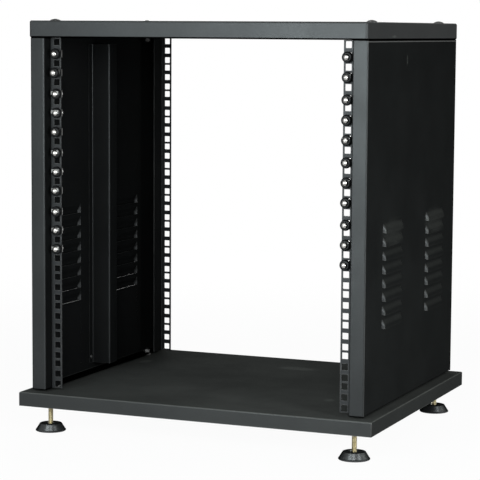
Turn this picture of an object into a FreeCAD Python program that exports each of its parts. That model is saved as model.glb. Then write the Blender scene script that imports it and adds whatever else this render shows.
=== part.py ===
import FreeCAD, Part
import math
import os
from types import SimpleNamespace

import Sketcher
from FreeCAD import Vector

# A 12 unit studio rack of folded steel sheet: a base tray on levelling feet, two louvred sides,
# a top cover and four rails with square holes. Millimetres, +Z up, front towards -Y, and the
# origin on the floor under the middle of the rack.

doc = FreeCAD.newDocument("studio_rack")
sheet = doc.addObject("Spreadsheet::Sheet", "Sizes")
sheet.Label = "driving dimensions"


class Size:
    """A length that carries its number and the sheet formula that gives it."""

    def __init__(self, number, formula=None):
        self.number = float(number)
        self.formula = formula or str(number)

    def combine(self, other, sign, number):
        return Size(number, f"({self.formula} {sign} {as_size(other).formula})")

    def __add__(self, other):
        return self.combine(other, "+", self.number + as_size(other).number)

    def __sub__(self, other):
        return self.combine(other, "-", self.number - as_size(other).number)

    def __mul__(self, other):
        return self.combine(other, "*", self.number * as_size(other).number)

    def __truediv__(self, other):
        return self.combine(other, "/", self.number / as_size(other).number)

    def __neg__(self):
        return self * -1

    __radd__ = __add__
    __rmul__ = __mul__


def as_size(value):
    return value if isinstance(value, Size) else Size(value)


driving = {
    # the standard that the rails follow
    "rack_units": (12, "height in units"),
    "unit_height": (44.45, "one unit"),
    "hole_pitch": (15.875, "between the holes of one unit"),
    "row_spacing": (465.1, "between the left and right rows of holes"),
    "square_hole": (9.5, "side of a rail's square hole"),
    "hole_inset": (7.1, "row of holes in from the rail's free edge"),
    # the sides
    "body_depth": (431.4, "front post face to back post face"),
    "panel_sheet": (1.2, "sheet of the sides"),
    "post_face": (23.3, "width of a post face"),
    "post_return": (44, "depth of the fold behind a post face"),
    "bend_radius": (2.2, "outside radius of a bend"),
    # the base
    "base_side_reach": (16, "base beyond the sides"),
    "base_end_reach": (12.3, "base beyond the post faces"),
    "base_height": (21.6, "folded height"),
    "base_sheet": (1.5, "sheet of the base"),
    "base_clearance": (41, "floor to the bottom of the base"),
    "seam": (0.7, "width of the butt seams"),
    # the cover
    "cover_reach": (4, "cover beyond the post faces"),
    "cover_height": (25.5, "folded height"),
    "cover_sheet": (1.2, "sheet of the cover"),
    "cover_return": (25, "width of the fold along its lower edges"),
    "cover_corner": (4, "radius of the upright corners"),
    # between the folded parts
    "base_gap": (3.3, "base top to the bottom of the sides"),
    # the rails
    "rail_face": (19.25, "width of the face with the holes"),
    "rail_leg": (30, "depth of the leg on the return"),
    "rail_sheet": (2, "sheet of the rails"),
    "rail_setback": (17.5, "rail face behind the post face"),
    "rail_foot_gap": (1.6, "bottom of the sides to the rails"),
    "rail_top_gap": (0.2, "top of the rails to the top of the sides"),
    # the stiffening channel inside each side
    "channel_width": (27, "width of its web"),
    "channel_depth": (32, "how far it stands out"),
    "channel_flange": (11, "width of a flange"),
    "channel_sheet": (1.2, "sheet of the channel"),
    "channel_end_gap": (11, "channel's ends short of the sides' ends"),
    "channel_offset": (3, "channel in front of the middle"),
    # the louvres
    "louvre_length": (85.5, "length of a louvre"),
    "louvre_height": (15, "height of a louvre"),
    "louvre_reach": (4.5, "how far a louvre's lip stands out"),
    "louvre_lip": (3, "height of its upright lip"),
    "louvre_overlap": (0.9, "how far the lip hangs below its slot"),
    "louvre_drop": (0.4, "its inside corners below the outside ones"),
    "louvre_pitch": (20, "lip to lip"),
    "louvre_rows": (8, "louvres in a column"),
    "louvre_start": (118, "lowest lip above the bottom of the sides"),
    "louvre_front": (75.2, "post face to the front column"),
    "louvre_columns": (206.2, "front column to rear column"),
    # the screws between the folded parts
    "fixing_inset": (14, "fixing screws in from the sides"),
    "fixing_depth": (53.7, "fixing screws behind the post faces"),
    "fixing_screw": (6, "width of the fixing screws and their square necks"),
    "fixing_hole": (6.6, "clearance hole for them"),
    "fixing_head": (16, "width of the low domed heads at the sheet"),
    "dome_crown": (9, "width of the domes at their top"),
    "dome_rim": (0.6, "height of the domes' rim"),
    "dome_height": (3, "height of the low domed heads"),
    "spacer_width": (14, "width of the six-sided spacers"),
    "nut_width": (10, "across the flats of the fixing nuts"),
    "nut_height": (5, "height of the fixing nuts"),
    "screw_tail": (2, "screw beyond its nut"),
    # the screws stored in the rails
    "rack_screw": (5.8, "width of a rack screw"),
    "rack_screw_length": (20, "rack screw under its head"),
    "rack_head": (9.6, "width of its head"),
    "rack_crown": (6, "width of the head's top"),
    "rack_head_rim": (1, "height of the head's rim"),
    "rack_head_height": (4.2, "height of its head"),
    "washer_width": (16, "width of a cup washer at its rim"),
    "washer_front": (11, "width of a cup washer at its front"),
    "washer_rim": (0.6, "height of a cup washer's rim"),
    "washer_height": (4.5, "height of a cup washer"),
    "washer_bore": (6.4, "bore of a cup washer"),
    "head_stand": (8.6, "underside of a head in front of the rail"),
    "screw_sag": (1.7, "stored screws hang below the hole centres"),
    "cage_width": (12, "width of a cage nut behind the rail"),
    "cage_height": (10.6, "height of a cage nut behind the rail"),
    "cage_depth": (6, "depth of a cage nut behind the rail"),
    "cage_bore": (6.2, "bore of a cage nut"),
    "cage_lip": (1, "sheet of the two lips in the square hole"),
    "cage_lip_height": (5, "height of a lip"),
    "cage_hook": (1.3, "lip's hook over the front of the rail"),
    "cage_hook_sheet": (0.6, "thickness of the hook"),
    "cage_fit": (0.15, "lip to the side of the square hole"),
    # the levelling feet
    "foot_side": (36.8, "foot centre in from the base's side"),
    "foot_end": (33.4, "foot centre in from the base's front or back"),
    "pad_width": (46.5, "width of a pad at the floor"),
    "pad_top": (34, "width of its top"),
    "pad_rim": (1.5, "height of its upright rim"),
    "pad_height": (11.5, "height of a pad"),
    "pad_recess": (15, "width of the recess round the stem"),
    "recess_depth": (2, "depth of that recess"),
    "stem_width": (7.7, "diameter of a stem"),
    "stem_seat": (4, "bottom of the stem above the floor"),
    "stem_fit": (0.15, "clearance round a stem"),
    "stem_room": (7, "top of the stem below the base's sheet"),
    "bracket_length": (56, "length of a foot bracket"),
    "bracket_width": (40, "width of a foot bracket"),
    "bracket_sheet": (2, "sheet of a foot bracket"),
    "bracket_gap": (1, "bracket above the base's lower edge"),
    "foot_nut_width": (13, "across the flats of a foot's nut"),
    "foot_nut_height": (6.5, "height of a foot's nut"),
}

size = SimpleNamespace()
for row, (alias, (value, note)) in enumerate(driving.items(), start=1):
    sheet.set(f"A{row}", note)
    sheet.set(f"B{row}", str(value))
    sheet.setAlias(f"B{row}", alias)
    setattr(size, alias, Size(value, f"Sizes.{alias}"))
doc.recompute()


# corners nearer than this are the same
touching = 0.01

# how many sides the small screws, nuts and holes have, the round ones among them
round_sides = {"neck": 4, "nut": 6, "screw": 6, "head": 8, "recess": 12, "pad": 28}

# working sizes, all from the sheet
rail_inner = size.row_spacing / 2 - size.hole_inset
post_inner = rail_inner + size.rail_face
half_body = post_inner + size.post_face
half_depth = size.body_depth / 2
half_base = half_body + size.base_side_reach
half_base_depth = half_depth + size.base_end_reach

base_bottom = size.base_clearance
base_top = base_bottom + size.base_height
pattern_height = size.rack_units * size.unit_height
body_height = pattern_height + size.rail_foot_gap + size.rail_top_gap
body_bottom = base_top + size.base_gap
body_top = body_bottom + body_height
pattern_bottom = body_bottom + size.rail_foot_gap
cover_bottom = body_top
cover_top = cover_bottom + size.cover_height

rail_front = half_depth - size.rail_setback
fixing_x = half_body - size.fixing_inset
fixing_y = half_depth - size.fixing_depth
foot_x = half_base - size.foot_side
foot_y = half_base_depth - size.foot_end


# sketches whose corners and circles are tied to the sheet
def plane_of(body, role):
    return next(item for item in body.Origin.OriginFeatures if item.Role == role)


def bind(thing, name, value):
    thing.setExpression(name, as_size(value).formula)


def new_body(label):
    body = doc.addObject("PartDesign::Body", label)
    body.Label = label
    body.AllowCompound = True
    return body


def new_sketch(body, role, name, offset=0):
    sketch = body.newObject("Sketcher::SketchObject", name)
    sketch.AttachmentSupport = [(plane_of(body, role), "")]
    sketch.MapMode = "FlatFace"
    bind(sketch, "AttachmentOffset.Base.z", offset)
    return sketch


def tie_point(sketch, geometry, corner, x, y):
    for kind, value in (("DistanceX", as_size(x)), ("DistanceY", as_size(y))):
        index = sketch.addConstraint(
            Sketcher.Constraint(kind, -1, 1, geometry, corner, value.number))
        bind(sketch, f"Constraints[{index}]", value)


def add_outline(sketch, corners):
    points = [Vector(as_size(x).number, as_size(y).number, 0) for x, y in corners]
    first = sketch.GeometryCount
    for start, end in zip(points, points[1:] + points[:1]):
        sketch.addGeometry(Part.LineSegment(start, end), False)
    count = len(points)
    for index in range(count):
        following = first + (index + 1) % count
        sketch.addConstraint(
            Sketcher.Constraint("Coincident", first + index, 2, following, 1))
    for index, (x, y) in enumerate(corners):
        tie_point(sketch, first + index, 1, x, y)


def add_rectangle(sketch, low_x, high_x, low_y, high_y):
    add_outline(sketch, [(low_x, low_y), (high_x, low_y), (high_x, high_y), (low_x, high_y)])


def add_polygon(sketch, x, y, width, sides):
    """A regular polygon of the given width across its flats."""
    corner = as_size(width) / (2 * math.cos(math.pi / sides))
    turns = [math.pi * (2 * index + 1) / sides for index in range(sides)]
    add_outline(sketch, [
        (x + corner * round(math.cos(turn), 9), y + corner * round(math.sin(turn), 9))
        for turn in turns])


def add_circle(sketch, x, y, diameter):
    x, y, diameter = as_size(x), as_size(y), as_size(diameter)
    circle = Part.Circle(Vector(x.number, y.number, 0), Vector(0, 0, 1), diameter.number / 2)
    geometry = sketch.addGeometry(circle, False)
    tie_point(sketch, geometry, 3, x, y)
    index = sketch.addConstraint(
        Sketcher.Constraint("Diameter", geometry, diameter.number))
    bind(sketch, f"Constraints[{index}]", diameter)


def feature(body, kind, sketch, name, length, reversed_way=False, symmetric=False):
    item = body.newObject(kind, name)
    item.Profile = sketch
    item.SideType = "Symmetric" if symmetric else "One side"
    item.Reversed = reversed_way
    bind(item, "Length", length)
    body.Tip = item
    return item


def pad(body, sketch, name, length, **options):
    return feature(body, "PartDesign::Pad", sketch, name, length, **options)


def pocket(body, sketch, name, length, **options):
    return feature(body, "PartDesign::Pocket", sketch, name, length, **options)


def repeat(body, originals, name, rows):
    """Each row is (axis role, spacing, count): a grid of copies of the originals."""
    grid = body.newObject("PartDesign::MultiTransform", name)
    grid.Originals = originals
    lines = []
    for index, (role, spacing, count) in enumerate(rows):
        line = body.newObject("PartDesign::LinearPattern", f"{name}_{index}")
        line.Direction = (plane_of(body, role), [""])
        line.Mode = "Spacing"
        bind(line, "Offset", spacing)
        bind(line, "Occurrences", count)
        lines.append(line)
    grid.Transformations = lines
    body.Tip = grid
    return grid


def dress_edges(body, kind, name, wanted):
    """A fillet or chamfer on the tip's edges that the test picks."""
    doc.recompute()
    tip = body.Tip
    names = [f"Edge{number}" for number, edge in enumerate(tip.Shape.Edges, start=1) if wanted(edge)]
    item = body.newObject(kind, name)
    item.Base = (tip, names)
    body.Tip = item
    return item


def round_edges(body, radius, name, wanted):
    bind(dress_edges(body, "PartDesign::Fillet", name, wanted), "Radius", radius)


def slope_edges(body, down, across, name, wanted):
    """A chamfer round an end face: down its side walls and across the face."""
    item = dress_edges(body, "PartDesign::Chamfer", name, wanted)
    item.ChamferType = "Two distances"
    bind(item, "Size", down)
    bind(item, "Size2", across)


def at_height(height, axis="Z"):
    """A test for the edges that lie at one height, or at one place along another axis."""
    wanted = as_size(height).number
    return lambda edge: all(abs(getattr(vertex, axis) - wanted) < touching for vertex in edge.Vertexes)


def upright(edge):
    direction = edge.tangentAt(edge.FirstParameter)
    return math.hypot(direction.x, direction.y) < touching


def place(thing, x=0, y=0, z=0):
    for axis, value in (("x", x), ("y", y), ("z", z)):
        bind(thing, f"Placement.Base.{axis}", value)


# the sides
def side_panel(label, side):
    body = new_body(label)
    gauge = size.panel_sheet
    outer, inner = side * half_body, side * post_inner
    wall, fold = side * (half_body - gauge), side * (post_inner + gauge)
    back, lip, shelf = half_depth, half_depth - size.post_return, half_depth - gauge

    section = new_sketch(body, "XY_Plane", f"{label}_section", body_bottom)
    add_outline(section, [
        (outer, -back), (outer, back), (inner, back), (inner, lip), (fold, lip), (fold, shelf),
        (wall, shelf), (wall, -shelf), (fold, -shelf), (fold, -lip), (inner, -lip), (inner, -back)])
    pad(body, section, f"{label}_fold", body_height)
    edge_x = outer.number
    round_edges(body, size.bend_radius, f"{label}_bends", lambda edge: (
        upright(edge) and abs(edge.Vertexes[0].X - edge_x) < touching))

    for end, height in (("bottom", body_bottom), ("top", body_top - gauge)):
        flange = new_sketch(body, "XY_Plane", f"{label}_{end}_flange_outline", height)
        add_rectangle(flange, inner, wall, -shelf, shelf)
        pad(body, flange, f"{label}_{end}_flange", gauge)
    holes = new_sketch(body, "XY_Plane", f"{label}_fixing_holes", body_bottom)
    for y in (-fixing_y, fixing_y):
        add_polygon(holes, side * fixing_x, y, size.fixing_hole, round_sides["screw"])
    pocket(body, holes, f"{label}_fixings", body_height, reversed_way=True)

    louvres(body, label, side)
    return body


def louvres(body, label, side):
    """Hoods pressed out of the wall, open at their lower lip and closed at both ends."""
    gauge = size.panel_sheet
    outer, wall = side * half_body, side * (half_body - gauge)
    room, lip = side * (half_body - gauge * 2), side * (half_body + size.louvre_reach)
    low = body_bottom + size.louvre_start
    high, knee = low + size.louvre_height, low + size.louvre_lip
    start = size.louvre_front - half_depth

    hood_outline = new_sketch(body, "XZ_Plane", f"{label}_hood_outline", -start)
    inside, ceiling, tip = lip - side * gauge, high - size.louvre_drop, low - size.louvre_overlap
    add_outline(hood_outline, [(wall, low), (inside, low), (inside, tip), (lip, tip), (lip, knee),
                               (outer, high), (wall, high)])
    hood = pad(body, hood_outline, f"{label}_hood", size.louvre_length, reversed_way=True)

    hollow_outline = new_sketch(body, "XZ_Plane", f"{label}_hollow_outline", -(start + gauge))
    add_outline(hollow_outline, [(room, low), (inside, low), (inside, knee - size.louvre_drop),
                                 (wall, ceiling), (room, ceiling)])
    hollow = pocket(body, hollow_outline, f"{label}_hollow", size.louvre_length - gauge * 2)
    repeat(body, [hood, hollow], f"{label}_louvres", [
        ("Z_Axis", size.louvre_pitch, size.louvre_rows), ("Y_Axis", size.louvre_columns, 2)])


# the rails
def rail(label, side, end):
    body = new_body(label)
    inner = side * rail_inner
    outer, leg = side * post_inner, side * (post_inner - size.rail_sheet)
    face, back = end * rail_front, end * (rail_front - size.rail_sheet)
    tail = end * (rail_front - size.rail_leg)

    section = new_sketch(body, "XY_Plane", f"{label}_section", pattern_bottom)
    add_outline(section, [(inner, face), (outer, face), (outer, tail), (leg, tail), (leg, back),
                          (inner, back)])
    pad(body, section, f"{label}_angle", pattern_height)

    squares = new_sketch(body, "XZ_Plane", f"{label}_squares", 0)
    hole_x, half_hole = side * size.row_spacing / 2, size.square_hole / 2
    for step in (-1, 0, 1):
        middle = pattern_bottom + size.unit_height / 2 + step * size.hole_pitch
        add_rectangle(squares, hole_x - half_hole, hole_x + half_hole, middle - half_hole,
                      middle + half_hole)
    unit = pocket(body, squares, f"{label}_unit", half_depth, reversed_way=end < 0)
    repeat(body, [unit], f"{label}_holes", [("Z_Axis", size.unit_height, size.rack_units)])
    return body


# the stiffening channel inside a side
def wall_channel(label, side):
    body = new_body(label)
    wall = half_body - size.panel_sheet
    gauge = size.channel_sheet
    near, crest = side * (wall - gauge), side * (wall - size.channel_depth)
    under, wall = side * (wall - size.channel_depth + gauge), side * wall
    middle = -size.channel_offset
    web = size.channel_width / 2
    flange = web + size.channel_flange

    section = new_sketch(body, "XY_Plane", f"{label}_section", body_bottom + size.channel_end_gap)
    add_outline(section, [
        (wall, middle - flange), (near, middle - flange), (near, middle - web), (crest, middle - web),
        (crest, middle + web), (near, middle + web), (near, middle + flange), (wall, middle + flange),
        (wall, middle + web - gauge), (under, middle + web - gauge),
        (under, middle - web + gauge), (wall, middle - web + gauge)])
    pad(body, section, f"{label}_hat", body_height - size.channel_end_gap * 2)
    return body


# the base tray and the top cover
def base_tray():
    body = new_body("base_tray")
    outline = new_sketch(body, "XY_Plane", "base_outline", base_bottom)
    add_rectangle(outline, -half_base, half_base, -half_base_depth, half_base_depth)
    pad(body, outline, "base_block", size.base_height)
    round_edges(body, size.bend_radius, "base_bends", at_height(base_top))

    hollow = new_sketch(body, "XY_Plane", "base_hollow_outline", base_bottom)
    inside_x, inside_y = half_base - size.base_sheet, half_base_depth - size.base_sheet
    add_rectangle(hollow, -inside_x, inside_x, -inside_y, inside_y)
    pocket(body, hollow, "base_hollow", size.base_height - size.base_sheet, reversed_way=True)

    seams = new_sketch(body, "XY_Plane", "base_seam_outline", base_bottom)
    for x in (-1, 1):
        for y in (-1, 1):
            near_x, far_x = x * inside_x, x * (half_base + size.seam)
            near_y, far_y = y * (inside_y - size.seam), y * inside_y
            add_rectangle(seams, near_x, far_x, near_y, far_y)
    pocket(body, seams, "base_seams", size.base_height - size.bend_radius, reversed_way=True)

    holes = new_sketch(body, "XY_Plane", "base_fixing_holes", base_bottom)
    add_fixings(holes, size.fixing_hole, "neck")
    pocket(body, holes, "base_fixings", size.base_height, reversed_way=True)
    return body


def add_fixings(sketch, width, kind):
    for x in (-fixing_x, fixing_x):
        for y in (-fixing_y, fixing_y):
            add_polygon(sketch, x, y, width, round_sides[kind])


def top_cover():
    body = new_body("top_cover")
    outline = new_sketch(body, "XY_Plane", "cover_outline", cover_bottom)
    reach = half_depth + size.cover_reach
    add_rectangle(outline, -half_body, half_body, -reach, reach)
    pad(body, outline, "cover_block", size.cover_height)
    round_edges(body, size.cover_corner, "cover_corners", upright)
    round_edges(body, size.bend_radius, "cover_bends", at_height(cover_top))
    round_edges(body, size.bend_radius, "cover_lower_bends", at_height(cover_bottom))

    mouth = new_sketch(body, "XY_Plane", "cover_mouth_outline", cover_bottom)
    mouth_x, mouth_y = half_body - size.cover_return, reach - size.cover_return
    add_rectangle(mouth, -mouth_x, mouth_x, -mouth_y, mouth_y)
    pocket(body, mouth, "cover_mouth", size.cover_sheet, reversed_way=True)

    hollow = new_sketch(body, "XY_Plane", "cover_hollow_outline", cover_bottom + size.cover_sheet)
    inside_x, inside_y = half_body - size.cover_sheet, reach - size.cover_sheet
    cut = size.cover_corner - size.cover_sheet
    add_outline(hollow, [
        (-inside_x + cut, -inside_y), (inside_x - cut, -inside_y), (inside_x, -inside_y + cut),
        (inside_x, inside_y - cut), (inside_x - cut, inside_y), (-inside_x + cut, inside_y),
        (-inside_x, inside_y - cut), (-inside_x, -inside_y + cut)])
    pocket(body, hollow, "cover_hollow", size.cover_height - size.cover_sheet * 2, reversed_way=True)

    holes = new_sketch(body, "XY_Plane", "cover_fixing_holes", cover_bottom)
    add_fixings(holes, size.fixing_hole, "neck")
    pocket(body, holes, "cover_fixings", size.cover_height, reversed_way=True)
    return body


# the screws, spacers and nuts between the folded parts
def fixing_rings(label, low, high, width):
    """Four like six-sided rings at the fixing points."""
    body = new_body(label)
    rings = new_sketch(body, "XY_Plane", f"{label}_outline", low)
    add_fixings(rings, width, "nut")
    add_fixings(rings, size.fixing_hole, "screw")
    pad(body, rings, f"{label}_rings", high - low)
    return body


def fixing_screws(label, seat, tip, dome_way, neck_length):
    """Four domed screws with square necks: a dome lies on the seat, above or below it."""
    body = new_body(label)
    dome_up = dome_way > 0
    outline = new_sketch(body, "XY_Plane", f"{label}_dome_outline", seat)
    add_fixings(outline, size.fixing_head, "head")
    pad(body, outline, f"{label}_domes", size.dome_height, reversed_way=not dome_up)
    slope_edges(body, size.dome_height - size.dome_rim, (size.fixing_head - size.dome_crown) / 2,
                f"{label}_slopes", at_height(seat + dome_way * size.dome_height))
    for part, kind, length in (("necks", "neck", neck_length), ("shanks", "screw", dome_way * (seat - tip))):
        outline = new_sketch(body, "XY_Plane", f"{label}_{part}_outline", seat)
        add_fixings(outline, size.fixing_screw, kind)
        pad(body, outline, f"{label}_{part}", length, reversed_way=dome_up)
    return body


# the levelling feet
def foot(label, side, end):
    x, y = side * foot_x, end * foot_y
    bracket_bottom = base_bottom + size.bracket_gap
    bracket_top = base_top - size.base_sheet
    nut_bottom = bracket_bottom + size.bracket_sheet
    bore = size.stem_width + size.stem_fit * 2

    stem = new_body(f"foot_stem_{label}")
    circle = new_sketch(stem, "XY_Plane", f"stem_outline_{label}", size.stem_seat)
    add_circle(circle, 0, 0, size.stem_width)
    pad(stem, circle, f"stem_rod_{label}", bracket_top - size.stem_room - size.stem_seat)

    base = new_body(f"foot_pad_{label}")
    outline = new_sketch(base, "XY_Plane", f"pad_outline_{label}")
    add_polygon(outline, 0, 0, size.pad_width, round_sides["pad"])
    pad(base, outline, f"pad_disc_{label}", size.pad_height)
    slope_edges(base, size.pad_height - size.pad_rim, (size.pad_width - size.pad_top) / 2,
                f"pad_slope_{label}", at_height(size.pad_height))
    for part, kind, width, depth in (("recess", "recess", size.pad_recess, size.recess_depth),
                                     ("bore", "screw", bore, size.pad_height - size.stem_seat)):
        outline = new_sketch(base, "XY_Plane", f"pad_{part}_outline_{label}", size.pad_height)
        add_polygon(outline, 0, 0, width, round_sides[kind])
        pocket(base, outline, f"pad_{part}_{label}", depth)

    nut = new_body(f"foot_nut_{label}")
    outline = new_sketch(nut, "XY_Plane", f"foot_nut_outline_{label}", nut_bottom)
    add_polygon(outline, 0, 0, size.foot_nut_width, round_sides["nut"])
    add_polygon(outline, 0, 0, bore, round_sides["screw"])
    pad(nut, outline, f"foot_nut_block_{label}", size.foot_nut_height)

    bracket = new_body(f"foot_bracket_{label}")
    section = new_sketch(bracket, "YZ_Plane", f"bracket_section_{label}")
    half, gauge = size.bracket_width / 2, size.bracket_sheet
    add_outline(section, [
        (-half, bracket_bottom), (half, bracket_bottom), (half, bracket_top), (half - gauge, bracket_top),
        (half - gauge, nut_bottom), (gauge - half, nut_bottom), (gauge - half, bracket_top),
        (-half, bracket_top)])
    pad(bracket, section, f"bracket_fold_{label}", size.bracket_length, symmetric=True)
    hole = new_sketch(bracket, "XY_Plane", f"bracket_hole_outline_{label}", bracket_bottom)
    add_polygon(hole, 0, 0, bore, round_sides["screw"])
    pocket(bracket, hole, f"bracket_hole_{label}", size.bracket_sheet, reversed_way=True)

    for body in (stem, base, nut, bracket):
        place(body, x, y)
    return [stem, base, nut, bracket]


# the screws, cup washers and cage nuts stored in the front rails, each made in front of the origin
def front_polygon(body, name, distance, width, kind, height=0):
    """A polygon seen from the front, at a distance in front of the origin."""
    sketch = new_sketch(body, "XZ_Plane", name, distance)
    add_polygon(sketch, 0, height, width, round_sides[kind])
    return sketch


def rack_screw():
    body = new_body("rack_screw")
    head = front_polygon(body, "screw_head_outline", 0, size.rack_head, "head")
    pad(body, head, "screw_head", size.rack_head_height)
    slope_edges(body, size.rack_head_height - size.rack_head_rim, (size.rack_head - size.rack_crown) / 2,
                "screw_head_slope", at_height(-size.rack_head_height, "Y"))
    shank = front_polygon(body, "screw_shank_outline", 0, size.rack_screw, "screw")
    pad(body, shank, "screw_shank", size.rack_screw_length, reversed_way=True)
    return body


def cup_washer():
    body = new_body("cup_washer")
    cup = front_polygon(body, "washer_outline", 0, size.washer_width, "head")
    pad(body, cup, "washer_cup", size.washer_height, reversed_way=True)
    slope_edges(body, size.washer_height - size.washer_rim, (size.washer_width - size.washer_front) / 2,
                "washer_slope", at_height(0, "Y"))
    bore = front_polygon(body, "washer_bore_outline", 0, size.washer_bore, "screw")
    pocket(body, bore, "washer_bore", size.washer_height)
    return body


def cage_nut():
    """The nut hangs behind the rail, and two lips hold it in the square hole."""
    body = new_body("cage_nut")
    cage = new_sketch(body, "XZ_Plane", "cage_outline", -size.rail_sheet)
    half, tall = size.cage_width / 2, size.cage_height / 2
    add_rectangle(cage, -half, half, -size.screw_sag - tall, tall - size.screw_sag)
    pad(body, cage, "cage_block", size.cage_depth, reversed_way=True)

    outer = size.square_hole / 2 - size.cage_fit
    rise = size.cage_lip_height / 2
    for part, back, reach, thickness in (
            ("lips", -size.rail_sheet, outer, size.rail_sheet + size.cage_hook_sheet),
            ("hooks", 0, outer + size.cage_hook, size.cage_hook_sheet)):
        outline = new_sketch(body, "XZ_Plane", f"cage_{part}_outline", back)
        for side in (-1, 1):
            add_rectangle(outline, side * (outer - size.cage_lip), side * reach, -rise, rise)
        pad(body, outline, f"cage_{part}", thickness)

    bore = front_polygon(body, "cage_bore_outline", -size.rail_sheet, size.cage_bore, "screw",
                         -size.screw_sag)
    pocket(body, bore, "cage_hole", size.cage_depth)
    return body


# how much further than head_stand each head stands out, from the top down
proud = {
    -1: [0.4, 3.0, -1.9, -3.1, 0.6, -1.6, -2.9, -0.7, -1.4, -2.0, -1.9],
    1: [0.3, -0.2, 0.0, 0.5, -0.4, 0.2, -0.1, 0.4, 0.0, -0.3, 0.1],
}
holes_in_a_unit = 3


def hole_height(number):
    """Height of a rail hole, counted from 1 at the top."""
    unit, place_in_unit = divmod(number - 1, holes_in_a_unit)
    unit_middle = pattern_bottom + pattern_height - size.unit_height * unit - size.unit_height / 2
    return unit_middle + size.hole_pitch * (1 - place_in_unit)


def stored_row(label, master, side, distances, sag=0):
    """A row of like pieces at every other hole of a front rail, each at its distance in front."""
    links = []
    for index, distance in enumerate(distances):
        link = doc.addObject("App::Link", f"{label}_{index + 1}")
        link.LinkedObject = master
        place(link, side * size.row_spacing / 2, -(rail_front + distance),
              hole_height(2 * index + 2) - sag)
        links.append(link)
    row = doc.addObject("Part::Compound", label)
    row.Label = label
    row.Links = links
    return row


nodes = [base_tray(), top_cover()]
for name, side in (("left", -1), ("right", 1)):
    nodes.append(side_panel(f"side_panel_{name}", side))
    nodes.append(rail(f"front_rail_{name}", side, -1))
    nodes.append(rail(f"rear_rail_{name}", side, 1))
    nodes.append(wall_channel(f"wall_channel_{name}", side))
    for end_name, end in (("front", -1), ("rear", 1)):
        nodes += foot(f"{end_name}_{name}", side, end)

nut_low = body_top - size.panel_sheet - size.nut_height
nodes.append(fixing_screws("cover_screws", cover_top, nut_low - size.screw_tail, 1, size.cover_sheet))
nodes.append(fixing_rings("cover_spacers", cover_bottom + size.cover_sheet, cover_top - size.cover_sheet,
                          size.spacer_width))
nodes.append(fixing_rings("cover_nuts", nut_low, nut_low + size.nut_height, size.nut_width))

seat = base_top - size.base_sheet
nut_low = body_bottom + size.panel_sheet
nut_high = nut_low + size.nut_height
nodes.append(fixing_screws("base_screws", seat, nut_high + size.screw_tail, -1, size.base_sheet))
nodes.append(fixing_rings("base_washers", base_top, body_bottom, size.spacer_width))
nodes.append(fixing_rings("base_nuts", nut_low, nut_high, size.nut_width))

screw, washer, nut = rack_screw(), cup_washer(), cage_nut()
for name, side in (("left", -1), ("right", 1)):
    stands = [size.head_stand + extra for extra in proud[side]]
    nodes.append(stored_row(f"rack_screws_{name}", screw, side, stands, size.screw_sag))
    nodes.append(stored_row(f"cup_washers_{name}", washer, side, stands, size.screw_sag))
    nodes.append(stored_row(f"cage_nuts_{name}", nut, side, [as_size(0)] * len(stands)))

doc.recompute()

for item in doc.Objects:
    if "Invalid" in item.State or "Error" in item.State:
        raise RuntimeError(f"{item.Name} failed: {item.State}")
for node in nodes:
    if node.Shape.isNull() or not node.Shape.isValid():
        raise RuntimeError(f"{node.Label} has no valid shape")

os.makedirs("parts", exist_ok=True)
for node in nodes:
    node.Shape.exportStep(f"parts/{node.Label}.step")
print(len(nodes), "nodes")
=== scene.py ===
import math

import bmesh
import bpy
from mathutils import Matrix, Vector


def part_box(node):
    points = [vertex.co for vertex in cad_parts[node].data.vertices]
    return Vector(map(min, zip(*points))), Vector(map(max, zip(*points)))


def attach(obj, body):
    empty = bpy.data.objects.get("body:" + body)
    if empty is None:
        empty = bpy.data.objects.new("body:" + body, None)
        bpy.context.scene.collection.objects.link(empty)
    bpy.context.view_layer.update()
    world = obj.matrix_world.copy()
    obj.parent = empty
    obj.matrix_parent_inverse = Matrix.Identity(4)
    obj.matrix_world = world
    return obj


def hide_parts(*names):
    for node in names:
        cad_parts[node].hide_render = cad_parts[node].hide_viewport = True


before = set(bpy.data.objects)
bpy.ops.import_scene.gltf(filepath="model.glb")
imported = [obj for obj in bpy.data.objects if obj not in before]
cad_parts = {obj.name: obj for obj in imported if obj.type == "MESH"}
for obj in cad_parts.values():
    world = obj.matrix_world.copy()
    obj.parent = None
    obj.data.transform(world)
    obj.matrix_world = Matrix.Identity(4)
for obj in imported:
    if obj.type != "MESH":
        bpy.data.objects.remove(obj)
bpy.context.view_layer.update()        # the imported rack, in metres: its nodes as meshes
print("frame loaded:", len(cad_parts), "nodes")

sides = {"left": -1, "right": 1}
ends = {"front": -1, "rear": 1}
tiny = 1e-5              # corners nearer than this are the same
# the turns, in degrees, past which an edge is a fold, is softened or is shaded sharp
edgeTurn = {"fold": 60, "softened": 28, "shaded": 32}

# the standard that the rails follow
rackUnit = {"height": 0.04445, "holePitch": 0.015875, "rowSpacing": 0.4651, "squareHole": 0.0095}


# tools for meshes
def mergeAndTurnOut(bm):
    bmesh.ops.remove_doubles(bm, verts=bm.verts, dist=tiny / 10)
    bmesh.ops.recalc_face_normals(bm, faces=bm.faces)


def moveVerts(bm, verts, x=0, y=0, z=0):
    bmesh.ops.translate(bm, verts=verts, vec=(x, y, z))


def foldedStrip(corners, low, high, outward):
    # an open sheet: its corners in plan, drawn up from low to high, its outside towards outward
    bm = bmesh.new()
    verts = [bm.verts.new((x, y, low)) for x, y in corners]
    edges = [bm.edges.new(pair) for pair in zip(verts, verts[1:])]
    drawn = bmesh.ops.extrude_edge_only(bm, edges=edges)["geom"]
    moveVerts(bm, vertsOf(drawn), z=high - low)
    bm.normal_update()
    widest = max(bm.faces, key=lambda face: face.calc_area())
    if widest.normal.dot(Vector(outward)) < 0:
        bmesh.ops.reverse_faces(bm, faces=bm.faces)
    return bm


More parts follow.
